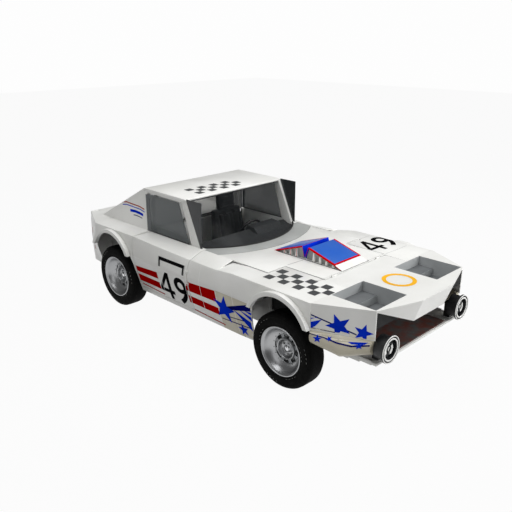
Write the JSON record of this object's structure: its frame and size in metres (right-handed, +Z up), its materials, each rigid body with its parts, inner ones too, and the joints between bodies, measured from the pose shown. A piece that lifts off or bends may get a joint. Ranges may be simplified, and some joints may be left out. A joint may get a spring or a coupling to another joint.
{
  "type": "race car",
  "caption": "Two-seat coupe race car with louvred bonnet scoop, open lamp bays, opening doors and bonnet, steered front wheels and free-turning road wheels.",
  "frame": {"origin": "middle of the car's length and width, on the floor", "axes": "+X towards the nose, +Y to the car's left, +Z up"},
  "size_m": [4.152, 1.936, 1.372],
  "materials": {
    "white_paint": "gloss white two-pack paint on glass-fibre and steel panels",
    "clear_glass": "clear toughened glass and polycarbonate",
    "red_lens": "moulded red lens",
    "black_plastic": "grained black moulding",
    "grey_panel": "satin grey paint on sheet",
    "black_steel": "satin black chassis paint",
    "seat_fabric": "charcoal woven racing fabric",
    "wheel_leather": "black stitched leather rim",
    "engine_iron": "painted cast iron",
    "tyre_rubber": "slick racing tyre",
    "rim_alloy": "machined and lacquered alloy"
  },
  "bodies": {
    "chassis": {"front_fender_right": "white_paint", "front_fender_left": "white_paint", "rear_quarter_right": "white_paint", "rear_quarter_left": "white_paint", "tail_panel": "white_paint", "rear_deck": "white_paint", "roof": "white_paint", "cowl": "white_paint", "nose_shell": "white_paint", "corner_bumpers": "white_paint", "wheel_flares": "white_paint", "rockers": "white_paint", "splitter": "white_paint", "windscreen": "clear_glass", "rear_window": "clear_glass", "deflector_panes": "clear_glass", "driving_lamp_lenses": "clear_glass", "tail_lamps": "red_lens", "dashboard": "black_plastic", "driving_lamps": "black_plastic", "radiator_duct": "black_plastic", "cabin_tub": "grey_panel", "wheel_liners": "grey_panel", "exhaust_pipes": "black_steel", "chassis_frame": "black_steel", "roll_hoop": "black_steel", "steering_column": "black_steel", "front_suspension": "black_steel", "rear_axle": "black_steel", "driver_seat": "seat_fabric", "engine_block": "engine_iron"},
    "door_right": {"door_right": "white_paint", "door_glass_right": "clear_glass"},
    "door_left": {"door_left": "white_paint", "door_glass_left": "clear_glass"},
    "bonnet": {"bonnet": "white_paint", "bonnet_scoop": "white_paint"},
    "knuckle_right": {"steering_knuckle_right": "black_steel"},
    "knuckle_left": {"steering_knuckle_left": "black_steel"},
    "steering_wheel": {"steering_wheel": "wheel_leather"},
    "wheel_front_right": {"tyre_front_right": "tyre_rubber", "rim_front_right": "rim_alloy"},
    "wheel_front_left": {"tyre_front_left": "tyre_rubber", "rim_front_left": "rim_alloy"},
    "wheel_rear_right": {"tyre_rear_right": "tyre_rubber", "rim_rear_right": "rim_alloy"},
    "wheel_rear_left": {"tyre_rear_left": "tyre_rubber", "rim_rear_left": "rim_alloy"}
  },
  "joints": [
    {"name": "steer_right", "type": "hinge", "parent": "chassis", "child": "knuckle_right", "pos_m": [1.1485, -0.715, 0.344], "axis": [0, 0, 1], "range_deg": [-25, 25]},
    {"name": "steer_left", "type": "hinge", "parent": "chassis", "child": "knuckle_left", "pos_m": [1.1485, 0.715, 0.344], "axis": [0, 0, 1], "range_deg": [-25, 25]},
    {"name": "spin_front_right", "type": "hinge", "parent": "knuckle_right", "child": "wheel_front_right", "pos_m": [1.1485, -0.8, 0.344], "axis": [0, 1, 0], "continuous": true},
    {"name": "spin_front_left", "type": "hinge", "parent": "knuckle_left", "child": "wheel_front_left", "pos_m": [1.1485, 0.8, 0.344], "axis": [0, 1, 0], "continuous": true},
    {"name": "spin_rear_right", "type": "hinge", "parent": "chassis", "child": "wheel_rear_right", "pos_m": [-1.3405, -0.8, 0.344], "axis": [0, 1, 0], "continuous": true},
    {"name": "spin_rear_left", "type": "hinge", "parent": "chassis", "child": "wheel_rear_left", "pos_m": [-1.3405, 0.8, 0.344], "axis": [0, 1, 0], "continuous": true},
    {"name": "door_right_hinge", "type": "hinge", "parent": "chassis", "child": "door_right", "pos_m": [-0.0725, -0.915, 0.682], "axis": [0, 0, 1], "range_deg": [0, 62]},
    {"name": "door_left_hinge", "type": "hinge", "parent": "chassis", "child": "door_left", "pos_m": [-0.0725, 0.915, 0.682], "axis": [0, 0, -1], "range_deg": [0, 62]},
    {"name": "bonnet_hinge", "type": "hinge", "parent": "chassis", "child": "bonnet", "pos_m": [1.2525, 0, 0.908], "axis": [0, 1, 0], "range_deg": [0, 48]},
    {"name": "steering_wheel_turn", "type": "hinge", "parent": "chassis", "child": "steering_wheel", "pos_m": [-0.426, 0.28, 0.8], "axis": [0.9272, 0, -0.3746], "range_deg": [-350, 350]}
  ],
  "couplings": [
    {"joint": "steer_left", "follows": "steer_right", "ratio": 1},
    {"joint": "steering_wheel_turn", "follows": "steer_right", "ratio": -14}
  ]
}
